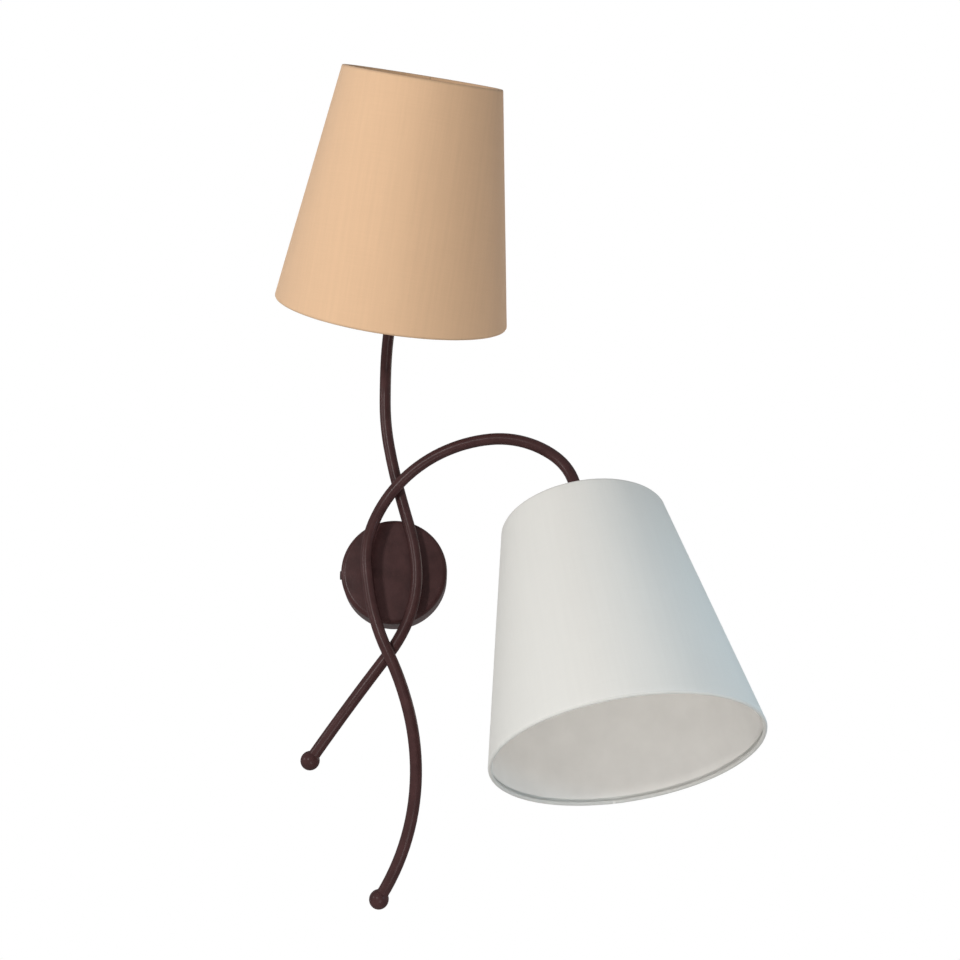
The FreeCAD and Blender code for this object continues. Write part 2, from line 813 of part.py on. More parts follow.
def lower_stations():
    post_out = lower_post_out
    return [
        (place(s.lower_tail_across, s.lower_tail_up, post_out + s.lower_tail_forward), None),
        (
            place(s.lower_belly_across, s.lower_belly_up, post_out + s.lower_belly_forward),
            heading(0, s.lower_belly_rise),
        ),
        (
            place(s.crossing_low_across, s.crossing_low_up, upper_crossing_low_out + crossing_pitch),
            heading(s.lower_crossing_low_lean),
        ),
        (place(s.lower_post_across, 0, post_out), heading(s.lower_post_lean)),
        (
            place(s.crossing_high_across, s.crossing_high_up, upper_crossing_high_out + crossing_pitch),
            heading(s.lower_crossing_high_lean, s.lower_crossing_high_rise),
        ),
        (
            place(s.arch_top_across, s.arch_top_up, post_out + s.arch_top_forward),
            heading(90, s.lower_lamp_rise),
        ),
        (
            place(s.arch_shoulder_across, s.arch_shoulder_up, post_out + s.arch_shoulder_forward),
            heading(s.arch_shoulder_lean, s.lower_lamp_rise),
        ),
        (
            place(s.lower_run_across, s.lower_run_up, post_out + s.lower_run_forward),
            heading(s.lower_lamp_lean, s.lower_lamp_rise),
        ),
    ]


def make_arm(name, stations, post_index, post_across, post_out, run_length):
    """The bent tube, its ball, the post that carries it and the lead inside it.

    Returns the place and direction of the tube's end."""
    bends = tube_bends(stations)
    run_start, direction = stations[-1]
    tube_end = run_start + direction * float(run_length)
    run = Part.LineSegment(run_start, tube_end).toShape()
    outer = swept(f"{name}_tube_outer", bends + [run], s.tube_radius)
    bore = swept(f"{name}_tube_bore", bends + [run], tube_bore_radius)
    post_axis = place(post_across, 0, 0)
    wall_to_front = Vector(0, -1, 0)
    entry = cylinder(
        f"{name}_tube_entry", s.post_bore_radius, s.tube_radius * 1.5,
        place(post_across, 0, post_out - s.tube_radius * 1.5), wall_to_front,
    )
    finish(cut(f"{name}_tube", outer, [bore, entry]), f"{name}_arm")

    start_direction = bends[0].tangentAt(bends[0].FirstParameter)
    ball_centre = stations[0][0] - start_direction * float(s.finial_seat)
    ball = doc.addObject("Part::Sphere", f"{name}_ball")
    bind(ball, Radius=s.finial_radius)
    ball.Placement = Placement(ball_centre, along(start_direction))
    socket = cylinder(
        f"{name}_ball_socket", s.tube_radius + s.press_clearance, s.finial_radius,
        stations[0][0], start_direction,
    )
    finish(cut(f"{name}_ball_bored", ball, [socket]), f"{name}_finial")

    tail_start = s.canopy_depth - s.post_tail_length
    post_length = post_out - s.canopy_depth
    post_seat = post_axis + wall_to_front * float(s.canopy_depth)
    tail = cylinder(
        f"{name}_post_tail", s.post_tail_radius, s.post_tail_length,
        post_axis + wall_to_front * float(tail_start), wall_to_front,
    )
    stem = cylinder(f"{name}_post_stem", s.post_radius, post_length, post_seat, wall_to_front)
    wire_way = cylinder(
        f"{name}_post_bore", s.post_bore_radius, post_out, post_axis, wall_to_front
    )
    blank = joined(f"{name}_post_blank", [tail, stem])
    station, tube_direction = stations[post_index]
    cutter = cylinder(
        f"{name}_post_saddle", s.tube_radius + s.press_clearance, s.post_radius * 4,
        station - tube_direction * float(s.post_radius * 2), tube_direction,
    )
    finish(cut(f"{name}_post_bored", blank, [wire_way, cutter]), f"{name}_post")

    first = bends[2 * post_index]
    turn = float(s.lead_turn)
    parameter = first.getParameterByLength(turn)
    in_tube = first.valueAt(parameter)
    turn_start = post_axis + wall_to_front * (float(post_out) - turn)
    lead_start = post_axis + wall_to_front * float(tail_start - s.lead_end_gap)
    block_depth = float(s.holder_block_up - s.holder_thread_depth)
    lead_end = tube_end + direction * block_depth
    route = [Part.LineSegment(lead_start, turn_start).toShape()]
    route += two_arcs(turn_start, wall_to_front, in_tube, first.tangentAt(parameter))
    route.append(first.Curve.toShape(parameter, first.LastParameter))
    route += bends[2 * post_index + 1:]
    route.append(Part.LineSegment(run_start, lead_end).toShape())
    finish(swept(f"{name}_lead_sheath", route, s.lead_radius), f"{name}_lead")
    return tube_end, direction


def make_post_fasteners():
    washers = []
    nuts = []
    washer_back = canopy_front_inside - s.post_washer_thickness
    nut_back = washer_back - s.post_nut_thickness
    for name, across in (("upper", s.upper_post_across), ("lower", s.lower_post_across)):
        disc = cylinder(
            f"{name}_washer_disc", s.post_washer_radius, s.post_washer_thickness,
            point(across, 0, washer_back),
        )
        disc_hole = cylinder(
            f"{name}_washer_hole", s.post_tail_radius + s.screw_hole_clearance,
            s.post_washer_thickness, point(across, 0, washer_back),
        )
        washers.append(cut(f"{name}_washer", disc, [disc_hole]))
        prism = doc.addObject("Part::Prism", f"{name}_nut_prism")
        prism.Polygon = 6
        bind(prism, Circumradius=s.post_nut_across_flats / math.sqrt(3), Height=s.post_nut_thickness)
        prism.Placement = Placement(point(across, 0, nut_back), Rotation())
        nut_hole = cylinder(
            f"{name}_nut_hole", s.post_tail_radius + s.thread_clearance, s.post_nut_thickness,
            point(across, 0, nut_back),
        )
        nuts.append(cut(f"{name}_nut", prism, [nut_hole]))
    finish(grouped("post_washer_pair", washers), "post_washers", WALL)
    finish(grouped("post_nut_pair", nuts), "post_nuts", WALL)


def make_lamp_cores():
    """The two cores of each lead, fanned out to the block's live and neutral poles."""
    start_out = s.canopy_depth - s.post_tail_length - s.lead_end_gap
    live = s.terminal_pitch * (0 - (TERMINAL_POLES - 1) / 2)
    neutral = s.terminal_pitch * (1 - (TERMINAL_POLES - 1) / 2)
    side_step = s.terminal_bore_radius / 2
    cores = []
    for name, post_across, room, near_pole, far_pole, side in (
        ("upper", s.upper_post_across, s.upper_core_room, neutral, live, 1),
        ("lower", s.lower_post_across, s.lower_core_room, live, neutral, -1),
    ):
        level = start_out - room
        for end, pole, stack in (("near", near_pole, 1), ("far", far_pole, -1)):
            pole_across = pole + side_step * side
            start_up = s.core_spacing / 2 * stack
            route = [
                point(post_across, start_up, start_out),
                point(post_across, start_up, level),
                point(pole_across, s.core_fan_up, level),
                point(pole_across, terminal_bottom - s.core_bend_radius / 2, terminal_out),
                point(pole_across, insert_bottom, terminal_out),
            ]
            cores.append(
                swept(f"{name}_{end}_core", rounded_run(route, s.core_bend_radius), s.core_radius)
            )
    finish(grouped("lamp_core_set", cores), "lamp_cores", WALL)


# ------------------------------------------------------------------ lampholders and bulbs
def make_lampholder(name, holder):
    entry_radius = s.tube_radius + s.thread_clearance
    block_radius = s.holder_cap_radius - s.holder_cap_wall
    ledge_radius = block_radius - s.holder_block_ledge
    cap = turned(
        f"{name}_cap_body",
        [
            (entry_radius, ZERO),
            (s.holder_neck_radius, ZERO),
            (s.holder_neck_radius, s.holder_neck_length),
            (s.holder_cap_radius, s.holder_thread_depth),
            (s.holder_cap_radius, s.holder_cap_length),
            (block_radius, s.holder_cap_length),
            (block_radius, s.holder_block_up),
            (ledge_radius, s.holder_block_up),
            (ledge_radius, s.holder_thread_depth),
            (entry_radius, s.holder_thread_depth),
        ],
    )
    finish(cap, f"{name}_holder_cap", holder)

    shell_top = block_top + s.screw_shell_length
    sleeve_bore = screw_shell_outer_radius + s.press_clearance
    sleeve_radius = sleeve_bore + s.holder_sleeve_wall
    block = turned(
        f"{name}_block_body",
        [
            (ZERO, s.holder_block_up),
            (block_radius - s.press_clearance, s.holder_block_up),
            (block_radius - s.press_clearance, s.holder_cap_length),
            (sleeve_radius, s.holder_cap_length),
            (sleeve_radius, shell_top),
            (sleeve_bore, shell_top),
            (sleeve_bore, block_top),
            (ZERO, block_top),
        ],
    )
    finish(block, f"{name}_contact_block", holder)

    skirt_top = seat_height + s.holder_skirt_length
    skirt_floor = s.holder_cap_length + s.holder_skirt_wall
    skirt_bore = sleeve_radius + s.press_clearance
    skirt_inner = s.holder_skirt_radius - s.holder_skirt_wall
    skirt = turned(
        f"{name}_skirt_body",
        [
            (skirt_bore, s.holder_cap_length),
            (s.holder_flange_radius, s.holder_cap_length),
            (s.holder_flange_radius, seat_height),
            (s.holder_skirt_radius, seat_height),
            (s.holder_skirt_radius, skirt_top),
            (s.holder_mouth_radius, skirt_top),
            (s.holder_mouth_radius, skirt_top - s.holder_skirt_wall),
            (skirt_inner, skirt_top - s.holder_skirt_wall),
            (skirt_inner, skirt_floor),
            (skirt_bore, skirt_floor),
        ],
    )
    finish(skirt, f"{name}_holder_skirt", holder)

    shell = turned(
        f"{name}_shell_body",
        [
            (screw_shell_inner_radius, block_top),
            (screw_shell_outer_radius, block_top),
            (screw_shell_outer_radius, shell_top),
            (screw_shell_inner_radius, shell_top),
        ],
    )
    finish(shell, f"{name}_screw_shell", holder)

    contact_top = block_top + s.centre_contact_height
    contact = turned(
        f"{name}_contact_body",
        [
            (ZERO, block_top),
            (s.centre_contact_radius, block_top),
            (s.centre_contact_radius * 0.6, contact_top),
            (ZERO, contact_top),
        ],
    )
    finish(contact, f"{name}_centre_contact", holder)

    nut_bottom = seat_height + s.seat_gap * 2 + s.fitter_ring_sheet
    nut_top = nut_bottom + s.shade_nut_height
    nut_bevel = s.shade_nut_height / 4
    nut = turned(
        f"{name}_nut_body",
        [
            (s.holder_skirt_radius + s.thread_clearance, nut_bottom),
            (s.shade_nut_radius, nut_bottom),
            (s.shade_nut_radius, nut_top - nut_bevel),
            (s.shade_nut_radius - nut_bevel, nut_top),
            (s.holder_skirt_radius + s.thread_clearance, nut_top),
        ],
    )
    finish(nut, f"{name}_shade_nut", holder)


def make_bulb(name, holder):
    """A small round bulb: a screw cap with its collar, and a hollow globe on a tapered neck."""
    insulator_bottom = bulb_tip_up + s.bulb_tip_height
    thread_bottom = insulator_bottom + s.bulb_insulator_height
    collar_bottom = bulb_tip_up + s.bulb_cap_length
    collar_top = collar_bottom + s.bulb_collar_length
    neck_fit = s.bulb_neck_radius + s.press_clearance
    collar_radius = neck_fit + s.bulb_collar_wall
    cap = turned(
        f"{name}_bulb_cap_body",
        [
            (ZERO, bulb_tip_up),
            (s.bulb_tip_radius, bulb_tip_up),
            (s.bulb_tip_radius, insulator_bottom),
            (s.bulb_cap_radius, thread_bottom),
            (s.bulb_cap_radius, collar_bottom - s.bulb_glass),
            (collar_radius, collar_bottom),
            (collar_radius, collar_top),
            (neck_fit, collar_top),
            (neck_fit, collar_bottom),
            (ZERO, collar_bottom),
        ],
    )
    finish(cap, f"{name}_bulb_cap", holder)

    taper_top_radius = float(s.bulb_globe_radius) * 2 / 3
    drop = math.sqrt(float(s.bulb_globe_radius) ** 2 - taper_top_radius ** 2)
    globe_up = collar_top + s.bulb_taper_length + drop
    shells = []
    for layer, inset in (("outer", ZERO), ("inner", s.bulb_glass)):
        neck = cylinder(
            f"{name}_neck_{layer}", s.bulb_neck_radius - inset, collar_top - collar_bottom,
            point(0, 0, collar_bottom),
        )
        taper = doc.addObject("Part::Cone", f"{name}_taper_{layer}")
        bind(
            taper,
            Radius1=s.bulb_neck_radius - inset,
            Radius2=s.bulb_globe_radius * 2 / 3 - inset,
            Height=s.bulb_taper_length,
        )
        taper.Placement = Placement(point(0, 0, collar_top), Rotation())
        globe = doc.addObject("Part::Sphere", f"{name}_globe_{layer}")
        bind(globe, Radius=s.bulb_globe_radius - inset)
        globe.Placement = Placement(point(0, 0, globe_up), Rotation())
        shells.append(joined(f"{name}_envelope_{layer}", [neck, taper, globe]))
    outer, inner = shells
    finish(cut(f"{name}_bulb_envelope", outer, [inner]), f"{name}_bulb_globe", holder)


# ------------------------------------------------------------------ shades
def shade_slope():
    """The lean of the shade's side from its axis, in radians."""
    taper = float(s.shade_wide_radius - s.shade_narrow_radius)
    return math.atan2(taper, float(s.shade_height))


def ring_centre(height):
    """The centre of a ring's wire: inside the hem, under the straight outside of the shade."""
    share = float(height) / float(s.shade_height)
    outside = float(s.shade_wide_radius) * (1 - share) + float(s.shade_narrow_radius) * share
    return Vector(outside - float(hem_outer_radius) / math.cos(shade_slope()), 0, float(height))


def side_strip(lower, upper, inner_offset, outer_offset, margin):
    """The section of a straight layer of the shade's side, offset from the wires' centres."""
    upward = (upper - lower).normalize()
    outward = Vector(upward.z, 0, -upward.x)
    start = lower + upward * margin
    end = upper - upward * margin
    corners = [
        start + outward * inner_offset,
        start + outward * outer_offset,
        end + outward * outer_offset,
        end + outward * inner_offset,
    ]
    return Part.Face(Part.makePolygon(corners + corners[:1]))


def fabric_section(lower, upper, spoke):
    """The section of the fabric: a straight side, rolled round the wire at both ends.

    The roll stops square to the spokes, which leave the upper wire along the given direction."""
    upward = (upper - lower).normalize()
    outward = Vector(upward.z, 0, -upward.x)
    spoke_angle = math.atan2(spoke.dot(upward), spoke.dot(outward)) % (2 * math.pi)
    wrap = spoke_angle - math.pi / 2

    def on_hem(centre, end, radius, angle):
        """A point of the roll, turned by an angle from the outside towards the shade's end."""
        return centre + outward * (radius * math.cos(angle)) + end * (radius * math.sin(angle))

    rolls = {}
    for radius in (float(hem_inner_radius), float(hem_outer_radius)):
        rolls[radius] = [
            [on_hem(centre, end, radius, angle) for angle in (0, wrap / 2, wrap)]
            for centre, end in ((lower, upward * -1), (upper, upward))
        ]
    inner, outer = (rolls[float(radius)] for radius in (hem_inner_radius, hem_outer_radius))
    edges = [
        Part.LineSegment(outer[0][0], outer[1][0]).toShape(),
        Part.Arc(*outer[1]).toShape(),
        Part.LineSegment(outer[1][2], inner[1][2]).toShape(),
        Part.Arc(*reversed(inner[1])).toShape(),
        Part.LineSegment(inner[1][0], inner[0][0]).toShape(),
        Part.Arc(*inner[0]).toShape(),
        Part.LineSegment(inner[0][2], outer[0][2]).toShape(),
        Part.Arc(*reversed(outer[0])).toShape(),
    ]
    return Part.Face(Part.Wire(edges))


def spun(name, face):
    """A section in the XZ plane, turned about Z."""
    section = doc.addObject("Part::Feature", name + "_section")
    section.Shape = face
    feature = doc.addObject("Part::Revolution", name)
    feature.Source = section
    feature.Axis = Vector(0, 0, 1)
    feature.Angle = 360
    feature.Solid = False
    doc.recompute()
    return feature


def wire_ring(name, centre, radius):
    ring = doc.addObject("Part::Torus", name)
    bind(ring, Radius2=radius)
    ring.Radius1 = centre.x
    ring.Placement = Placement(Vector(0, 0, centre.z), Rotation())
    return ring


def make_shade(name, shade):
    """A tapered drum: fabric rolled over two wire rings, its lining and the fitter's spokes."""
    bottom_ring = ring_centre(hem_outer_radius)
    top_ring = ring_centre(s.shade_height - hem_outer_radius)
    for label, centre in (("bottom", bottom_ring), ("top", top_ring)):
        ring = wire_ring(f"{name}_{label}_wire", centre, s.shade_wire_radius)
        finish(ring, f"{name}_shade_{label}_ring", shade.multiply(ring.Placement))

    ring_middle = fitter_height + s.fitter_ring_sheet / 2
    washer = turned(
        f"{name}_fitter_ring",
        [
            (fitter_ring_inner, fitter_height),
            (s.fitter_ring_radius, fitter_height),
            (s.fitter_ring_radius, fitter_height + s.fitter_ring_sheet),
            (fitter_ring_inner, fitter_height + s.fitter_ring_sheet),
        ],
    )
    spokes = []
    weld_depth = s.shade_wire_radius * 0.7
    elbow = point(s.fitter_ring_radius - weld_depth + s.fitter_spoke_run, 0, ring_middle)
    for index in range(FITTER_SPOKES):
        turn = Rotation(Vector(0, 0, 1), 360 * index / FITTER_SPOKES)
        weld = point(s.fitter_ring_radius - weld_depth, 0, ring_middle)
        corners = [turn.multVec(corner) for corner in (weld, elbow, top_ring)]
        route = rounded_run(corners, s.fitter_spoke_bend_radius)
        spokes.append(swept(f"{name}_spoke_{index}", route, s.shade_wire_radius))
    cope = wire_ring(f"{name}_spoke_cope", top_ring, s.shade_wire_radius + s.press_clearance)
    fitter = cut(f"{name}_fitter_coped", joined(f"{name}_fitter_welded", [washer] + spokes), [cope])
    finish(fitter, f"{name}_shade_fitter", shade)

    spoke = (elbow - top_ring).normalize()
    fabric = spun(f"{name}_fabric_roll", fabric_section(bottom_ring, top_ring, spoke))
    finish(fabric, f"{name}_shade_fabric", shade)
    lining_outside = float(hem_inner_radius - s.press_clearance)
    lining_inside = lining_outside - float(s.shade_lining)
    margin = float(s.shade_lining_margin)
    section = side_strip(bottom_ring, top_ring, lining_inside, lining_outside, margin)
    finish(spun(f"{name}_lining_drum", section), f"{name}_shade_lining", shade)


def holder_placement(tube_end, direction):
    return Placement(tube_end - direction * float(s.holder_thread_depth), along(direction))


# ------------------------------------------------------------------ assembly
make_bracket()
make_canopy()
make_canopy_fixings()
make_terminal_block()
make_earth_bond()
make_post_fasteners()
make_lamp_cores()

upper_end, upper_direction = make_arm(
    "upper", upper_stations(), 2, s.upper_post_across, upper_post_out, s.upper_run_length
)
lower_end, lower_direction = make_arm(
    "lower", lower_stations(), 3, s.lower_post_across, lower_post_out, s.lower_run_length
)

upper_holder = holder_placement(upper_end, upper_direction)
lower_holder = holder_placement(lower_end, lower_direction)
seat = float(seat_height + s.seat_gap)
upper_shade = upper_holder.multiply(Placement(Vector(0, 0, seat - float(fitter_height)), Rotation()))
lower_shade = lower_holder.multiply(
    Placement(
        Vector(0, 0, seat + float(fitter_height + s.fitter_ring_sheet)),
        Rotation(Vector(1, 0, 0), 180),
    )
)
for lamp, holder_place, shade_place in (
    ("upper", upper_holder, upper_shade),
    ("lower", lower_holder, lower_shade),
):
    make_lampholder(lamp, holder_place)
    make_bulb(lamp, holder_place)
    make_shade(lamp, shade_place)

doc.recompute()

# ------------------------------------------------------------------ checks and export
for item in doc.Objects:
    if "Invalid" in item.State or "Error" in item.State:
        raise ValueError(f"{item.Label}: {item.State}")
os.makedirs("parts", exist_ok=True)
for part in parts:
    if part.Shape.isNull() or not part.Shape.isValid() or not part.Shape.Solids:
        raise ValueError(f"{part.Label}: no valid solid")
    part.Shape.exportStep(f"parts/{part.Label}.step")
    print(f"{part.Label:24s} {len(part.Shape.Solids)} solid(s) {part.Shape.Volume:10.1f} mm3")
print(len(parts), "sub-parts")
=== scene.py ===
import json
import math

import bmesh
import bpy
from mathutils import Matrix, Vector, noise


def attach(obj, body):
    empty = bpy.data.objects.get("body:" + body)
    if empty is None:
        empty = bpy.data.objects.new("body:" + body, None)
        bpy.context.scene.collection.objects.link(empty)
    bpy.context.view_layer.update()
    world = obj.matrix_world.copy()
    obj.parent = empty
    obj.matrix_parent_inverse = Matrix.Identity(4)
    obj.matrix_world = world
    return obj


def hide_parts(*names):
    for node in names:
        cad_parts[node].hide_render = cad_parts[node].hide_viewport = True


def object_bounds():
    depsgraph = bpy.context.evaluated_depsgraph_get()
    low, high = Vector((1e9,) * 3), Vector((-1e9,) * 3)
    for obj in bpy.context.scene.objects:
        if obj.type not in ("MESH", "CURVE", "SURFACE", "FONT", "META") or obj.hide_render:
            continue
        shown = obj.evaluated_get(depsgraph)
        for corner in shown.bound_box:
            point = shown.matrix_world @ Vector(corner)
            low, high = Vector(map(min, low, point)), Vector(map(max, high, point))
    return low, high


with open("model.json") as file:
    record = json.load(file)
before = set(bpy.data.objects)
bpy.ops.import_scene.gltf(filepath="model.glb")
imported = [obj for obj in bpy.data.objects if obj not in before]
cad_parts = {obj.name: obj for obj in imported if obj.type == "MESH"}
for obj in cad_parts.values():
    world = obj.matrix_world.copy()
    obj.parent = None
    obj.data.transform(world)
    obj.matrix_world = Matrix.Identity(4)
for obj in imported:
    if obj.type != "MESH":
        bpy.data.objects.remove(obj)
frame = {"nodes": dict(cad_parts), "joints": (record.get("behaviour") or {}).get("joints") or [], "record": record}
cad_low, cad_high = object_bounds()

# Lengths are in metres, unless a comment says otherwise.
LAMPS = ("upper", "lower")
JOINTS = {joint["name"]: joint for joint in frame["joints"]}
TO_ROOM = Vector((0, -1, 0))


def add_object(name, data):
    made = bpy.data.objects.new(name, data)
    bpy.context.scene.collection.objects.link(made)
    return made


# ---------------------------------------------------------------- camera
# The sensor and the lens are in millimetres, and the pitch and the yaw in degrees.
SENSOR = 36.0
LENS = 46.875
CAMERA_AT = Vector((0.0392, -1.1291, -0.2406))
CAMERA_PITCH = 16.53
CAMERA_YAW = 1.975
CAMERA_CLIP = (0.01, 50)


def make_camera():
    data = bpy.data.cameras.new("camera")
    data.sensor_width = SENSOR
    data.lens = LENS
    data.clip_start, data.clip_end = CAMERA_CLIP
    camera = add_object("camera", data)
    camera.location = CAMERA_AT
    camera.rotation_euler = (math.radians(90 + CAMERA_PITCH), 0, math.radians(-CAMERA_YAW))
    bpy.context.scene.camera = camera


make_camera()

# ---------------------------------------------------------------- the shades' sizes
SHADE_HEIGHT = 0.203
WIDE_RADIUS = 0.105
NARROW_RADIUS = 0.069
MEAN_RADIUS = (WIDE_RADIUS + NARROW_RADIUS) / 2
CONE_SLOPE = math.atan2(WIDE_RADIUS - NARROW_RADIUS, SHADE_HEIGHT)

# The cloth is cut as a sector of a ring, with these radii.
CUT_OUTER = WIDE_RADIUS / math.sin(CONE_SLOPE)
CUT_INNER = NARROW_RADIUS / math.sin(CONE_SLOPE)

# The inside and the outside of the cloth, from the middle of the wire that it is rolled round,
# and how far round the wire it goes.
HEM_INNER = 0.00115
HEM_OUTER = 0.00155
HEM_TURN = math.radians(245)

# Painted shade: the cloth is drawn a little darker where it turns over the wires, as the rolled edge lets no light
# through.
HEM_SHADE_FADE = 0.0022
HEM_SHADE_TONE = 0.72

# The glued seam at the back, and the width over which its edges thin out.
SEAM_WIDTH = 0.012
SEAM_RISE = 0.00035
SEAM_EDGE = 0.0008

# Slight ripples all over the cloth, and closer puckers near its edges. Reach is a share of the
# shade's height, and each lamp's puckers are read at a place of their own.
RIPPLE_RISE = 0.00012
RIPPLES_ROUND = 8.5
RIPPLES_UP = 3.4
PUCKER_RISE = 0.0001
PUCKER_REACH = 0.03
PUCKERS_ROUND = 26
PUCKERS_UP = 3
PUCKER_PLACE = {"upper": 4, "lower": 9}

# Steps of the cloth's mesh: round the cone, up its side and round a wire.
CLOTH_COLUMNS = 288
CLOTH_ROWS = 40
HEM_STEPS = 16

# A shade's fitter is a flat ring, this far above the wide end, and its seat is this far along
# the lamp's axis from the lampholder's foot.
FITTER_UP = 0.122
FITTER_SHEET = 0.0015
SEAT_UP = 0.02415

# The wide end's place along the lamp's axis, from the lampholder's foot, and which way along
# that axis the shade's height runs: the upper shade stands on its fitter, the lower one hangs.
WIDE_END = {
    "upper": (SEAT_UP - FITTER_UP, 1),
    "lower": (SEAT_UP + FITTER_UP + FITTER_SHEET, -1),
}


# ---------------------------------------------------------------- node trees
class Nodes:
    """Helpers that add nodes to a node tree."""

    def __init__(self, tree):
        self.tree = tree

    def node(self, kind, inputs=None, **settings):
        node = self.tree.nodes.new(kind)
        for key, value in settings.items():
            setattr(node, key, value)
        for key, value in (inputs or {}).items():
            if isinstance(value, bpy.types.NodeSocket):
                self.tree.links.new(value, node.inputs[key])
            else:
                node.inputs[key].default_value = value
        return node

    def math(self, operation, first, second):
        made = self.node("ShaderNodeMath", {0: first, 1: second}, operation=operation)
        return made.outputs["Value"]

    def seen(self):
        """1 for a ray from the camera, a reflection or glass, and 0 for any other."""
        path = self.node("ShaderNodeLightPath").outputs
        bent = self.math("MAXIMUM", path["Is Glossy Ray"], path["Is Transmission Ray"])
        return self.math("MAXIMUM", path["Is Camera Ray"], bent)


class Shader(Nodes):
    """A material with one Principled shader, and helpers for its colour and its relief."""

    def __init__(self, name, color, roughness, **sockets):
        self.material = bpy.data.materials.new(name)
        self.material.use_nodes = True
        self.material.diffuse_color = (*color, 1)
        super().__init__(self.material.node_tree)
        self.shader = self.tree.nodes["Principled BSDF"]
        self.set("Base Color", (*color, 1))
        self.set("Roughness", roughness)
        for socket, value in sockets.items():
            self.set(socket.replace("_", " "), value)

    def set(self, socket, value):
        self.shader.inputs[socket].default_value = value

    def link(self, output, socket):
        self.tree.links.new(output, self.shader.inputs[socket])

    def object_place(self):
        return self.node("ShaderNodeTexCoord").outputs["Object"]

    def noise(self, place, scale, detail=4, roughness=0.55):
        made = self.node(
            "ShaderNodeTexNoise",
            {"Vector": place, "Scale": scale, "Detail": detail, "Roughness": roughness},
        )
        return made.outputs["Fac"]

    def stretched(self, place, scale):
        made = self.node("ShaderNodeMapping", {"Vector": place, "Scale": scale})
        return made.outputs["Vector"]

    def map_range(self, value, start, end, low, high):
        made = self.node(
            "ShaderNodeMapRange",
            {"Value": value, "From Min": start, "From Max": end, "To Min": low, "To Max": high},
        )
        return made.outputs["Result"]

    def from_noise(self, value, low, high):
        """A noise, most of which lies between 0.3 and 0.7, spread between low and high."""
        return self.map_range(value, 0.3, 0.7, low, high)

    def shade(self, color, value, low, high, also=None):
        """The base colour, made darker or lighter by a noise spread between low and high, and
        by a second factor that is used as it is."""
        brightness = self.from_noise(value, low, high)
        if also is not None:
            brightness = self.math("MULTIPLY", brightness, also)
        made = self.node(
            "ShaderNodeHueSaturation",
            {"Hue": 0.5, "Saturation": 1.0, "Value": brightness, "Fac": 1.0, "Color": (*color, 1)},
        )
        self.link(made.outputs["Color"], "Base Color")

    def bump(self, height, distance, strength):
        made = self.node(
            "ShaderNodeBump", {"Height": height, "Distance": distance, "Strength": strength}
        )
        self.link(made.outputs["Normal"], "Normal")
        return made.outputs["Normal"]


# ---------------------------------------------------------------- materials
THREAD_SPACING = 0.00055


def powder_coat(name, color):
    """Dark paint, baked on: a fine pebbled skin with slight clouding, under a thin gloss."""
    shader = Shader(
        name, color, roughness=0.6, Specular_IOR_Level=0.0,
        Coat_Weight=0.17, Coat_Roughness=0.26, Coat_IOR=1.5,
    )
    place = shader.object_place()
    shader.shade(color, shader.noise(place, scale=90, detail=5), low=0.82, high=1.18)
    pebbles = shader.noise(place, scale=1400, detail=2, roughness=0.6)
    waves = shader.noise(place, scale=160, detail=2)
    height = shader.math("ADD", pebbles, shader.math("MULTIPLY", waves, 1.6))
    skin = shader.bump(height, distance=0.00012, strength=0.5)
    shader.link(skin, "Coat Normal")
    return shader.material


def moulded(name, color, roughness=0.4, grain=0.00003):
    """Plain moulded plastic or ceramic with a faint surface grain."""
    shader = Shader(name, color, roughness)
    place = shader.object_place()
    shader.shade(color, shader.noise(place, scale=60, detail=3), low=0.96, high=1.03)
    shader.bump(shader.noise(place, scale=900, detail=3), distance=grain, strength=0.6)
    return shader.material


def metal(name, color, roughness, drawn=(1, 1, 1)):
    """Bare metal with fine lines or spots in its polish."""
    shader = Shader(name, color, roughness, Metallic=1.0)
    place = shader.stretched(shader.object_place(), scale=drawn)
    shader.shade(color, shader.noise(place, scale=300), low=0.88, high=1.06)
    polish = shader.noise(place, scale=700, detail=3)
    rough = shader.from_noise(polish, low=roughness * 0.8, high=min(1, roughness * 1.25))
    shader.link(rough, "Roughness")
    shader.bump(shader.noise(place, scale=1100, detail=3), distance=0.00002, strength=0.5)
    return shader.material


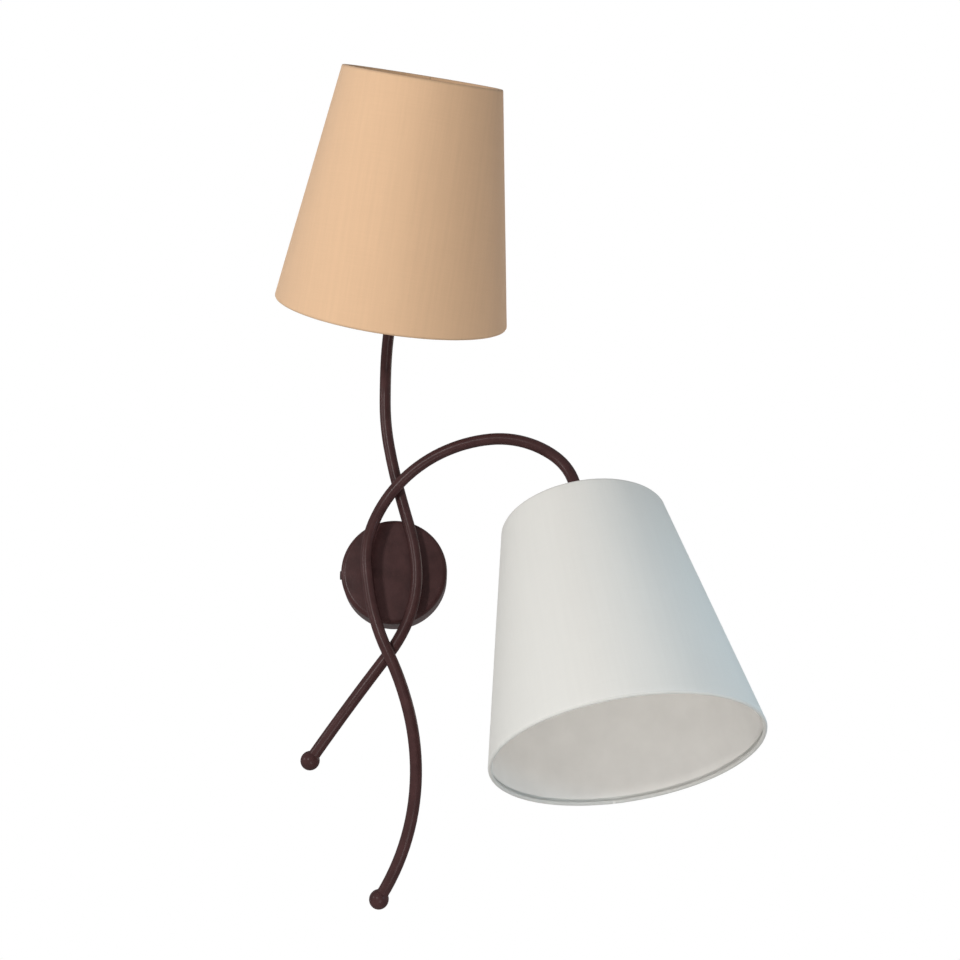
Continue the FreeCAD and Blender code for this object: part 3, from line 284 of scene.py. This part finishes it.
def woven(name, color, slub):
    """Plain-woven cotton on UVs laid out in metres, as the cloth's flat cut, whose distance
    from the cone's apex tells where the cloth turns over its wires; there it is painted darker,
    as shade. Slub is how uneven the colour is."""
    shader = Shader(
        name, color, roughness=0.86, Sheen_Weight=0.18, Sheen_Roughness=0.5, Specular_IOR_Level=0.25
    )
    cloth = shader.node("ShaderNodeUVMap", uv_map="cloth").outputs["UV"]

    warp_slubs = shader.noise(shader.stretched(cloth, scale=(900, 26, 1)), scale=1, detail=3)
    weft_slubs = shader.noise(shader.stretched(cloth, scale=(26, 900, 1)), scale=1, detail=3)
    bands = shader.noise(shader.stretched(cloth, scale=(260, 5, 1)), scale=1, detail=3)
    clouds = shader.noise(cloth, scale=34, detail=3)
    threads = shader.math("ADD", warp_slubs, weft_slubs)
    broad = shader.math(
        "ADD", shader.math("MULTIPLY", bands, 0.35), shader.math("MULTIPLY", clouds, 0.15)
    )
    uneven = shader.math("ADD", shader.math("MULTIPLY", threads, 0.25), broad)

    from_apex = shader.node("ShaderNodeVectorMath", {0: cloth}, operation="LENGTH").outputs["Value"]
    # Painted shade: the cloth is drawn darker near both of its wire rolls.
    wide_hem_shade = shader.map_range(from_apex, CUT_OUTER - HEM_SHADE_FADE, CUT_OUTER, 1.0, HEM_SHADE_TONE)
    narrow_hem_shade = shader.map_range(from_apex, CUT_INNER, CUT_INNER + HEM_SHADE_FADE, HEM_SHADE_TONE, 1.0)
    hems = shader.math("MULTIPLY", wide_hem_shade, narrow_hem_shade)
    shader.shade(color, uneven, low=1 - slub, high=1 + slub, also=hems)

    def wave(along):
        return shader.math("SINE", shader.math("MULTIPLY", along, math.tau / THREAD_SPACING), 0)

    axes = shader.node("ShaderNodeSeparateXYZ", {"Vector": cloth}).outputs
    weave = shader.math("MULTIPLY", wave(axes["X"]), wave(axes["Y"]))
    height = shader.math("ADD", weave, shader.math("MULTIPLY", threads, 1.5))
    shader.bump(height, distance=0.00007, strength=0.55)
    return shader.material


def backing(name, color):
    """The matt plastic sheet that carries the cloth, with the weave pressed faintly through."""
    shader = Shader(name, color, roughness=0.62, Specular_IOR_Level=0.35)
    place = shader.object_place()
    shader.shade(color, shader.noise(place, scale=40), low=0.97, high=1.03)
    shader.bump(shader.noise(place, scale=1200, detail=2), distance=0.00004, strength=0.5)
    return shader.material


def opal_glass(name, color):
    """Milky glass with a clear gloss."""
    shader = Shader(name, color, roughness=0.16, Coat_Weight=0.4, Coat_Roughness=0.05)
    clouds = shader.noise(shader.object_place(), scale=50, detail=2)
    shader.shade(color, clouds, low=0.985, high=1.01)
    return shader.material


MATERIALS = {
    "brown_paint": powder_coat("powder_coat_brown", (0.053, 0.0235, 0.0235)),
    "brown_screws": powder_coat("screw_paint_brown", (0.046, 0.021, 0.021)),
    "zinc_steel": metal("zinc_plate", (0.58, 0.59, 0.58), 0.36, drawn=(1, 12, 1)),
    "screw_steel": metal("screw_zinc", (0.62, 0.62, 0.60), 0.3),
    "terminal_plastic": moulded("terminal_body", (0.78, 0.76, 0.70), 0.5),
    "terminal_brass": metal("terminal_brass", (0.72, 0.52, 0.22), 0.32),
    "contact_brass": metal("contact_brass", (0.74, 0.54, 0.24), 0.28),
    "earth_sleeve": moulded("earth_sleeve", (0.22, 0.42, 0.06), 0.5),
    "core_sleeve": moulded("core_sleeve", (0.08, 0.17, 0.42), 0.5),
    "lead_sheath": moulded("lead_sheath", (0.70, 0.70, 0.68), 0.5),
    "holder_plastic": moulded("holder_plastic", (0.84, 0.84, 0.82), 0.34),
    "holder_ceramic": moulded("holder_ceramic", (0.80, 0.79, 0.74), 0.55),
    "bulb_cap_metal": metal("bulb_cap", (0.70, 0.70, 0.71), 0.26),
    "bulb_glass": opal_glass("opal_glass", (0.93, 0.92, 0.88)),
    "shade_lining": backing("shade_backing", (0.90, 0.885, 0.86)),
    "white_wire": moulded("wire_coating", (0.74, 0.74, 0.72), grain=0.00002),
}
CLOTH = {
    "upper": ("beige_fabric", woven("cotton_beige", (0.735, 0.488, 0.305), slub=0.045)),
    "lower": ("white_fabric", woven("cotton_white", (0.76, 0.762, 0.742), slub=0.02)),
}

# Painted light: the beige shade's backing is drawn cream, for the warm light that comes through the beige cloth.
OWN_MATERIALS = {"upper_shade_lining": backing("shade_backing_painted_warm_light", (0.86, 0.74, 0.57))}


def dress_nodes():
    """Give each CAD node its slot's material. The cloth's own slots belong to replaced nodes."""
    slots = {row["node"]: row["material_slot"] for row in frame["record"]["subparts"]}
    for node, piece in frame["nodes"].items():
        if slots[node] in MATERIALS:
            piece.data.materials.clear()
            piece.data.materials.append(OWN_MATERIALS.get(node, MATERIALS[slots[node]]))


dress_nodes()


# ---------------------------------------------------------------- meshes
def circle(steps):
    return [math.tau * step / steps for step in range(steps)]


def on_circle(angle, radius, height):
    return math.cos(angle) * radius, math.sin(angle) * radius, height


def lamp_axis(lamp):
    """The foot of a lamp's holder, and the direction in which its axis runs from there."""
    joint = JOINTS[f"{lamp}_shade_turn"]
    return Vector(joint["pos_m"]), Vector(joint["axis"]).normalized()


def placer(origin, front, up):
    """A function that puts a point in the frame from axes of its own, with X to the front and
    Z up."""
    turn = Matrix((front, up.cross(front), up)).transposed()
    return lambda x, y, z: origin + turn @ Vector((x, y, z))


def skin(build, rings):
    """Smooth faces from each ring of vertices to the next, and a lid on both ends."""
    for below, above in zip(rings, rings[1:]):
        for step in range(len(below)):
            after = (step + 1) % len(below)
            face = build.faces.new((below[step], below[after], above[after], above[step]))
            face.smooth = True
    build.faces.new(rings[0])
    build.faces.new(rings[-1])


def add_piece(name, build, material, body):
    bmesh.ops.recalc_face_normals(build, faces=build.faces)
    mesh = bpy.data.meshes.new(name)
    build.to_mesh(mesh)
    build.free()
    mesh.materials.append(material)
    piece = add_object(name, mesh)
    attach(piece, body)
    return piece


# ---------------------------------------------------------------- shades
def shade_place(lamp):
    """Puts points that are given from the middle of the shade's wide end, with Z to its narrow
    end and X to the room."""
    foot, axis = lamp_axis(lamp)
    start, sense = WIDE_END[lamp]
    up = axis * sense
    front = (TO_ROOM - up * up.dot(TO_ROOM)).normalized()
    return placer(foot + axis * start, front, up)


def fabric_profile():
    """The cloth's section as points (radius, height): its outside, up the cone, and its inside,
    down it, each with a roll round the wire at both ends."""
    outward = Vector((math.cos(CONE_SLOPE), math.sin(CONE_SLOPE)))
    upward = Vector((-math.sin(CONE_SLOPE), math.cos(CONE_SLOPE)))
    turns = [HEM_TURN * step / HEM_STEPS for step in range(HEM_STEPS + 1)]

    def wire_middle(height):
        share = height / SHADE_HEIGHT
        outside = WIDE_RADIUS * (1 - share) + NARROW_RADIUS * share
        return Vector((outside - HEM_OUTER / math.cos(CONE_SLOPE), height))

    def roll(middle, end, radius):
        return [
            middle + outward * radius * math.cos(turn) + end * radius * math.sin(turn)
            for turn in turns
        ]

    def side(start, end, radius):
        return [
            start + outward * radius + (end - start) * (row / CLOTH_ROWS)
            for row in range(1, CLOTH_ROWS)
        ]

    wide = wire_middle(HEM_OUTER)
    narrow = wire_middle(SHADE_HEIGHT - HEM_OUTER)
    outside = roll(wide, -upward, HEM_OUTER)[::-1]
    outside += side(wide, narrow, HEM_OUTER) + roll(narrow, upward, HEM_OUTER)
    inside = roll(narrow, upward, HEM_INNER)[::-1]
    inside += side(narrow, wide, HEM_INNER) + roll(wide, -upward, HEM_INNER)
    return outside, inside


def cloth_swell(lamp, angle, share):
    """How far the cloth's outside stands out from its cone, at a share of the shade's height."""
    from_seam = abs(angle - math.pi) * MEAN_RADIUS - SEAM_WIDTH / 2
    swell = SEAM_RISE * (1 - min(1, max(0, from_seam / SEAM_EDGE)))
    swell += RIPPLE_RISE * noise.noise(Vector(on_circle(angle, RIPPLES_ROUND, share * RIPPLES_UP)))
    from_edge = min(share, 1 - share) / PUCKER_REACH
    if from_edge < 1:
        place = Vector((angle * PUCKERS_ROUND, share * PUCKERS_UP, PUCKER_PLACE[lamp]))
        swell += PUCKER_RISE * noise.noise(place) * (1 - from_edge)
    return swell


def cut_place(column, height):
    """Where a point of the cone lies on the flat cut, from the cone's apex. The cut's two edges
    meet at the back, where one column of faces runs between them as the seam's line."""
    angle = math.tau * column / CLOTH_COLUMNS
    if column > CLOTH_COLUMNS / 2:
        angle -= math.tau
    flat_angle = angle * math.sin(CONE_SLOPE)
    distance = CUT_OUTER + (CUT_INNER - CUT_OUTER) * height / SHADE_HEIGHT
    return distance * math.sin(flat_angle), -distance * math.cos(flat_angle)


def make_fabric(lamp):
    """The cloth of one shade, from its flat cut: a sector rolled into a cone, with a glued seam
    at the back and both edges turned over the wires."""
    place = shade_place(lamp)
    outside, inside = fabric_profile()
    build = bmesh.new()
    uv_layer = build.loops.layers.uv.new("cloth")

    rings = []
    for angle in circle(CLOTH_COLUMNS):
        swollen = [
            (radius + cloth_swell(lamp, angle, height / SHADE_HEIGHT), height)
            for radius, height in outside
        ]
        points = [on_circle(angle, radius, height) for radius, height in swollen + inside]
        rings.append([build.verts.new(place(*point)) for point in points])

    heights = [height for radius, height in outside + inside]
    for column in range(CLOTH_COLUMNS):
        left = rings[column]
        right = rings[(column + 1) % CLOTH_COLUMNS]
        for row in range(len(heights)):
            after = (row + 1) % len(heights)
            face = build.faces.new((left[row], right[row], right[after], left[after]))
            face.smooth = True
            corners = ((column, row), (column + 1, row), (column + 1, after), (column, after))
            for loop, (across, up) in zip(face.loops, corners):
                loop[uv_layer].uv = cut_place(across, heights[up])

    slot, material = CLOTH[lamp]
    piece = add_piece(f"{lamp}_shade_cloth", build, material, f"{lamp}_shade")
    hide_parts(f"{lamp}_shade_fabric")


for lamp in LAMPS:
    make_fabric(lamp)

# ---------------------------------------------------------------- threads and grips
# Heights run along the lamp's axis from its lampholder's foot. TIP_FLAT and GRIP_END are the
# shares of a radius that are left at a rounded end.
TIP_RADIUS = 0.0024
TIP_UP = 0.0278
TIP_ROUNDING = 0.0004
TIP_FLAT = 0.8
INSULATOR_UP = 0.029
CAP_RADIUS = 0.0068
CAP_STEPS = 72
THREAD_LOW = 0.031
THREAD_HIGH = 0.0488
THREAD_PITCH = 0.00282
THREAD_DEPTH = 0.0007
THREAD_RUN_OUT = 0.0012
THREAD_STEPS = 60
NECK_RADIUS = 0.00785
COLLAR_RADIUS = 0.0086
COLLAR_LOW = 0.0498
COLLAR_HIGH = 0.0533
COLLAR_BEVEL = 0.0002
NUT_RADIUS = 0.0175
NUT_LOW = 0.0262
NUT_HIGH = 0.0307
GRIPS = 36
GRIP_RADIUS = 0.0006
GRIP_SINK = 0.0001
GRIP_ROUNDING = 0.0004
GRIP_END = 0.5
GRIP_SIDES = 10


def lamp_place(lamp):
    """Puts points that are given from the lampholder's foot, with Z along the lamp's axis."""
    foot, axis = lamp_axis(lamp)
    return placer(foot, axis.orthogonal().normalized(), axis)


def thread_radius(angle, height):
    """The rolled round thread, which runs out at both ends."""
    inside = min(height - THREAD_LOW, THREAD_HIGH - height) / THREAD_RUN_OUT
    wave = (1 - math.cos(math.tau * (height - THREAD_LOW) / THREAD_PITCH - angle)) / 2
    return CAP_RADIUS - THREAD_DEPTH * wave * max(0, min(1, inside))


def make_bulb_cap(lamp):
    """The bulb's metal cap: the tip, the thread and the collar round the glass."""
    place = lamp_place(lamp)
    thread_length = THREAD_HIGH - THREAD_LOW
    thread = [THREAD_LOW + thread_length * step / THREAD_STEPS for step in range(THREAD_STEPS + 1)]
    tip = [
        (TIP_RADIUS * TIP_FLAT, TIP_UP),
        (TIP_RADIUS, TIP_UP + TIP_ROUNDING),
        (TIP_RADIUS, INSULATOR_UP),
    ]
    collar = [
        (COLLAR_RADIUS, COLLAR_LOW),
        (COLLAR_RADIUS, COLLAR_HIGH - COLLAR_BEVEL),
        (COLLAR_RADIUS - COLLAR_BEVEL, COLLAR_HIGH),
        (NECK_RADIUS, COLLAR_HIGH),
        (NECK_RADIUS, COLLAR_LOW),
    ]

    build = bmesh.new()
    angles = circle(CAP_STEPS)

    def ring(radii, height):
        points = [on_circle(angle, radius, height) for angle, radius in zip(angles, radii)]
        return [build.verts.new(place(*point)) for point in points]

    def plain(rows):
        return [ring([radius] * CAP_STEPS, height) for radius, height in rows]

    def threaded(heights):
        return [ring([thread_radius(angle, up) for angle in angles], up) for up in heights]

    skin(build, plain(tip) + threaded(thread) + plain(collar))
    piece = add_piece(
        f"{lamp}_bulb_thread", build, MATERIALS["bulb_cap_metal"], f"{lamp}_bulb"
    )
    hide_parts(f"{lamp}_bulb_cap")


def make_nut_grips(lamp):
    """The upright ribs that fingers turn the shade nut by."""
    place = lamp_place(lamp)
    rib = (
        (NUT_LOW, GRIP_END),
        (NUT_LOW + GRIP_ROUNDING, 1),
        (NUT_HIGH - GRIP_ROUNDING, 1),
        (NUT_HIGH, GRIP_END),
    )
    build = bmesh.new()
    for middle in circle(GRIPS):
        rings = []
        for height, scale in rib:
            ring = []
            for angle in circle(GRIP_SIDES):
                out, aside, up = on_circle(angle, GRIP_RADIUS * scale, height)
                reach = NUT_RADIUS - GRIP_SINK + out
                x = math.cos(middle) * reach - math.sin(middle) * aside
                y = math.sin(middle) * reach + math.cos(middle) * aside
                ring.append(build.verts.new(place(x, y, up)))
            rings.append(ring)
        skin(build, rings)
    add_piece(f"{lamp}_nut_grips", build, MATERIALS["holder_plastic"], "fixture")


for lamp in LAMPS:
    make_bulb_cap(lamp)
    make_nut_grips(lamp)

# ---------------------------------------------------------------- floor, world and lamps
# The floor lies well below the light, which hangs on a wall, and the camera sees it nearly as
# white as the world behind it.
FLOOR_DROP = 0.6
FLOOR_HALF = 1.6
FLOOR_COLOR = (0.82, 0.82, 0.81)
FLOOR_GLOW = 0.42
FLOOR_GLOW_COLOR = (1, 1, 0.99)
WORLD_COLOR = (1.0, 0.975, 0.945)
WORLD_STRENGTH = 0.23
SPOT_BLEND = 0.7


def make_floor():
    height = cad_low.z - FLOOR_DROP
    mesh = bpy.data.meshes.new("floor")
    signs = [(-1, -1), (1, -1), (1, 1), (-1, 1)]
    corners = [(x * FLOOR_HALF, y * FLOOR_HALF, height) for x, y in signs]
    mesh.from_pydata(corners, [], [(0, 1, 2, 3)])
    pale = Shader("floor_paint", FLOOR_COLOR, roughness=0.7)
    clouds = pale.noise(pale.object_place(), scale=3, detail=3)
    pale.shade(FLOOR_COLOR, clouds, low=0.98, high=1.01)
    pale.set("Emission Color", (*FLOOR_GLOW_COLOR, 1))
    pale.link(pale.math("MULTIPLY", pale.seen(), FLOOR_GLOW), "Emission Strength")
    mesh.materials.append(pale.material)
    add_object("floor", mesh)


def make_world():
    """White where the camera, a reflection or glass sees it, and soft light for all else."""
    world = bpy.data.worlds.new("studio")
    bpy.context.scene.world = world
    world.use_nodes = True
    sky = Nodes(world.node_tree)
    light = sky.tree.nodes["Background"]
    light.inputs["Color"].default_value = (*WORLD_COLOR, 1)
    light.inputs["Strength"].default_value = WORLD_STRENGTH
    white = sky.node("ShaderNodeBackground", {"Color": (1, 1, 1, 1), "Strength": 1.0})
    mix = sky.node(
        "ShaderNodeMixShader",
        {"Fac": sky.seen(), 1: light.outputs["Background"], 2: white.outputs["Background"]},
    )
    sky.tree.links.new(mix.outputs["Shader"], sky.tree.nodes["World Output"].inputs["Surface"])


def add_lamp(name, data, at, target, power, color):
    data.energy = power
    data.color = color
    lamp = add_object(name, data)
    lamp.location = at
    lamp.rotation_euler = (Vector(target) - Vector(at)).to_track_quat("-Z", "Y").to_euler()


def area_lamp(name, size, **settings):
    data = bpy.data.lights.new(name, "AREA")
    data.shape = "DISK"
    data.size = size
    add_lamp(name, data, **settings)


def spot_lamp(name, radius, cone, **settings):
    """A lamp that lights a cone, whose whole angle is given in degrees."""
    data = bpy.data.lights.new(name, "SPOT")
    data.shadow_soft_size = radius
    data.spot_size = math.radians(cone)
    data.spot_blend = SPOT_BLEND
    add_lamp(name, data, **settings)


make_floor()
make_world()
area_lamp(
    "key", size=0.2, at=(-0.6, -1.7, 0.22), target=(0.05, -0.08, 0.0),
    power=13.5, color=(1.0, 0.985, 0.96),
)
area_lamp(
    "window", size=0.5, at=(-1.75, -0.75, 0.35), target=(0.05, -0.1, 0.05),
    power=10.5, color=(1.0, 1.0, 0.985),
)
area_lamp(
    "low_fill", size=0.3, at=(0.2, -0.7, -0.6), target=(0.16, -0.2, -0.12),
    power=1.85, color=(1.0, 0.99, 0.975),
)
area_lamp(
    "edge_fill", size=0.6, at=(1.3, 0.75, 0.4), target=(0.05, -0.15, 0.25),
    power=6, color=(1.0, 0.94, 0.86),
)
spot_lamp(
    "cool_fill", radius=0.12, cone=34, at=(0.98, -0.5, 0.02), target=(0.24, -0.15, -0.12),
    power=10, color=(0.5, 0.8, 1.0),
)

bpy.context.scene.view_settings.view_transform = "Standard"
